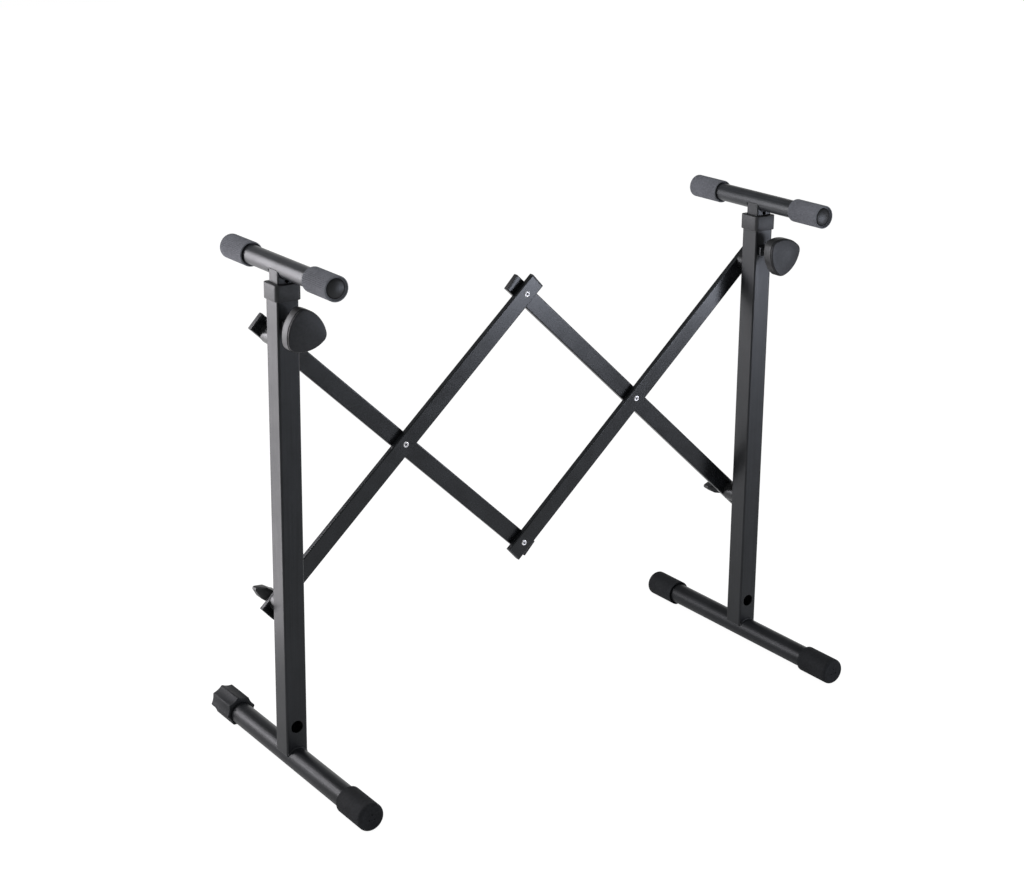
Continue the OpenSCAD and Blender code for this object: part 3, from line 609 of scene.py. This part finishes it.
def cut_grooves(shape, centre):
    """Draws every third line of a sleeve's outer face inwards."""
    for vert in shape.verts:
        across, rise = vert.co.x - centre.x, vert.co.z - centre.z
        line = round(math.atan2(rise, across) / math.tau * LINES_A_RIB * GRIP_RIBS)
        between_ends = GRIP_IN + RIB_START - 1 < abs(vert.co.y) < GRIP_OUT - RIB_START + 1
        outside = math.hypot(across, rise) > GRIP_RADIUS - 0.1
        if between_ends and outside and line % LINES_A_RIB == 0:
            vert.co.x -= GROOVE * across / GRIP_RADIUS
            vert.co.z -= GROOVE * rise / GRIP_RADIUS


for side in SIDES:
    centre = middle(f"{side}_grips")
    sleeves, plugs = [], []
    for way in (1, -1):
        grip = lathe([(radius, way * y) for radius, y in SLEEVE], centre, LINES_A_RIB * GRIP_RIBS)
        cut_grooves(grip, centre)
        sleeves.append(grip)
        dome = [(radius, way * (BAR_END + out)) for radius, out in PLUG_DOME]
        plugs.append(lathe(dome, centre, PLUG_STEPS))
    piece_of(f"{side}_ribbed_grips", join(sleeves), grip_rubber, f"{side}_top",
             [f"{side}_grips"], 20)
    piece_of(f"{side}_domed_plugs", join(plugs), plug_plastic, f"{side}_top",
             [f"{side}_bar_plugs"])

# %% [markdown]
# ## Rivets
# The arms turn on hollow rivets with rolled heads. A ring on a cylinder would look like one, but would leave
# two shells that cut each other. A rolled head is a small round lip about a hole, so its profile goes up from
# the bore, over the lip and down to the arm. One lathe profile holds both heads in a single shell.

# %% Rivets
HEAD_RADIUS, RIVET_STEPS = 4.2, 40
ROLLED_HEAD = [  # radius, and depth under the top of the lip
    (1.7, 0.7), (1.9, 0.3), (2.4, 0.05), (2.9, 0), (3.5, 0.2), (4.0, 0.65), (HEAD_RADIUS, 1.19), (3.0, 1.19),
]
for side in SIDES:
    low, high = (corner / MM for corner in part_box(f"{side}_arm_rivets"))
    front = [(radius, low.y + depth) for radius, depth in ROLLED_HEAD]
    rear = [(radius, high.y - depth) for radius, depth in reversed(ROLLED_HEAD)]
    spots = [
        Vector((low.x + HEAD_RADIUS, 0, low.z + HEAD_RADIUS)),
        Vector((high.x - HEAD_RADIUS, 0, high.z - HEAD_RADIUS)),
    ]
    rivets = [lathe(front + rear + front[:1], spot, RIVET_STEPS) for spot in spots]
    piece_of(f"{side}_rolled_rivets", join(rivets), zinc, f"{side}_rising",
             [f"{side}_arm_rivets"], 50)

# %% [markdown]
# ## Softened edges
# The collars, end caps, bosses, wing nuts and the levelling foot are moulded or cut pieces whose edges are
# never quite sharp. Shading alone can fake that on a face, but not on the outline. So a copy of the CAD mesh
# is merged, its flat faces are dissolved back to whole ones, and the edges that are left sharp get a small
# bevel. The CAD piece itself stays as it is and is hidden.

# %% Pieces with softened edges
SHARP_ANGLE, SOFT_SEGMENTS = 40, 3


def soften(node, body, look, width):
    """A copy of a CAD piece whose sharp edges are rounded by width, in millimetres."""
    shape = bmesh.new()
    shape.from_mesh(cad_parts[node].data)
    bmesh.ops.scale(shape, vec=(1 / MM, 1 / MM, 1 / MM), verts=shape.verts)
    bmesh.ops.remove_doubles(shape, verts=shape.verts, dist=0.002)
    bmesh.ops.dissolve_limit(shape, angle_limit=math.radians(1), use_dissolve_boundaries=False,
                             verts=shape.verts, edges=shape.edges)
    folds = [e for e in shape.edges if len(e.link_faces) == 2]
    hard = [e for e in folds if e.calc_face_angle() > math.radians(SHARP_ANGLE)]
    bmesh.ops.bevel(shape, geom=hard, offset=width, offset_type="OFFSET", affect="EDGES",
                    segments=SOFT_SEGMENTS, profile=0.5, material=-1, clamp_overlap=True)
    piece_of(f"{node}_soft", shape, look, body, [node], 30)


for side in SIDES:
    soften(f"{side}_collar", f"{side}_frame", collar_plastic, width=1.1)
    soften(f"{side}_clamp_boss", f"{side}_frame", post_paint, width=0.8)
    soften(f"{side}_wing_nut", f"{side}_wing", knob_plastic, width=1.0)
    for way in ("rising", "falling"):
        soften(f"{side}_{way}_caps", f"{side}_{way}", cap_plastic, width=0.5)
soften("left_levelling_foot", "levelling", level_plastic, width=0.8)

# %% [markdown]
# ## Threads
# A clamp screw shows a few turns of its thread between the boss and the knob. Rings side by side would pass
# for it from afar, but a thread climbs. A two-sided tooth that spins about the screw while it moves along is
# the helix itself, so one spin with a step along the axis makes it.

# %% Threads of the clamp screws
THREAD_PITCH, THREAD_TURNS, THREAD_STEPS = 1.25, 3.5, 24
TOOTH = [(3.9, -19.6), (4.3, -20.2), (3.9, -20.8)]  # radius and y of the tooth nearest the boss
for side in SIDES:
    centre = middle(f"{side}_clamp_screw")
    shape = bmesh.new()
    tooth = [shape.verts.new((centre.x + radius, y, centre.z)) for radius, y in TOOTH]
    edges = [shape.edges.new(pair) for pair in zip(tooth, tooth[1:])]
    steps = round(THREAD_TURNS * THREAD_STEPS)
    bmesh.ops.spin(shape, geom=tooth + edges, cent=centre, axis=(0, 1, 0), angle=math.tau * THREAD_TURNS,
                   dvec=(0, -THREAD_PITCH / THREAD_STEPS, 0), steps=steps,
                   use_merge=False, use_duplicate=False)
    piece_of(f"{side}_clamp_thread", shape, zinc, f"{side}_clamp", sharp=30)

# %% [markdown]
# ## Weld beads
# The posts are welded to the base tubes and the masts to the support bars. Without a bead two tubes look as
# if they were pushed into each other. A bead that runs round a tube is part of a ring, so a small circle is
# spun about the tube's axis, and a bead along a tube is the same circle drawn out. The beads are painted with
# the posts.

# %% Weld beads
BEAD_SEGMENTS, BEAD_STEPS = 10, 28
BASE_TUBE_Z = 18
BASE_RING, BASE_BEAD, BASE_REACH = 15.3, 1.2, 60  # ring radius, bead radius, degrees to each side of the top
POST_SEAM = 15.4  # y of the beads before and behind the post
SIDE_BEAD, SIDE_SEAM, SIDE_SEAM_Z, SIDE_HALF = 1.0, 14.2, 24.7, 14
BAR_RING, BAR_BEAD, BAR_FROM, BAR_TO = 12.8, 1.0, 105, 255
MAST_SEAM = 0.3  # from the mast's face to the middle of a bead


def ring_bead(centre, ring, y, from_angle, to_angle, thick):
    """A bead on a tube along Y, between two angles measured from straight up."""
    shape = bmesh.new()
    bmesh.ops.create_circle(shape, cap_ends=False, radius=thick, segments=BEAD_SEGMENTS)
    place = Matrix.Translation((centre.x, y, centre.z)) @ Matrix.Rotation(math.radians(from_angle), 4, "Y")
    place = place @ Matrix.Translation((0, 0, ring)) @ Matrix.Rotation(math.radians(90), 4, "Y")
    bmesh.ops.transform(shape, matrix=place, verts=shape.verts)
    bmesh.ops.spin(shape, geom=shape.verts[:] + shape.edges[:], cent=(centre.x, y, centre.z), axis=(0, 1, 0),
                   angle=math.radians(to_angle - from_angle), steps=BEAD_STEPS, use_duplicate=False)
    return shape


def straight_bead(x, z, from_y, to_y, thick):
    """A bead along Y."""
    shape = bmesh.new()
    bmesh.ops.create_circle(shape, cap_ends=False, radius=thick, segments=BEAD_SEGMENTS)
    place = Matrix.Translation((x, from_y, z)) @ Matrix.Rotation(math.radians(90), 4, "X")
    bmesh.ops.transform(shape, matrix=place, verts=shape.verts)
    made = bmesh.ops.extrude_edge_only(shape, edges=shape.edges[:])
    moved = [v for v in made["geom"] if isinstance(v, bmesh.types.BMVert)]
    bmesh.ops.translate(shape, verts=moved, vec=(0, to_y - from_y, 0))
    return shape


def close_ends(shape):
    """Fills the open ends of a bead."""
    bmesh.ops.holes_fill(shape, edges=[e for e in shape.edges if e.is_boundary], sides=0)
    return shape


for side in SIDES:
    tube = middle(f"{side}_post")
    tube.z = BASE_TUBE_Z
    beads = [ring_bead(tube, BASE_RING, y, -BASE_REACH, BASE_REACH, BASE_BEAD)
             for y in (-POST_SEAM, POST_SEAM)]
    beads += [straight_bead(tube.x + x, SIDE_SEAM_Z, -SIDE_HALF, SIDE_HALF, SIDE_BEAD)
              for x in (-SIDE_SEAM, SIDE_SEAM)]
    piece_of(f"{side}_base_weld", join([close_ends(bead) for bead in beads]), post_paint, f"{side}_frame",
             sharp=60)
    bar = middle(f"{side}_support_bar")
    low, high = (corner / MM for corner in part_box(f"{side}_mast"))
    beads = [ring_bead(bar, BAR_RING, y, BAR_FROM, BAR_TO, BAR_BEAD)
             for y in (low.y - MAST_SEAM, high.y + MAST_SEAM)]
    piece_of(f"{side}_bar_weld", join([close_ends(bead) for bead in beads]), post_paint, f"{side}_top",
             sharp=60)
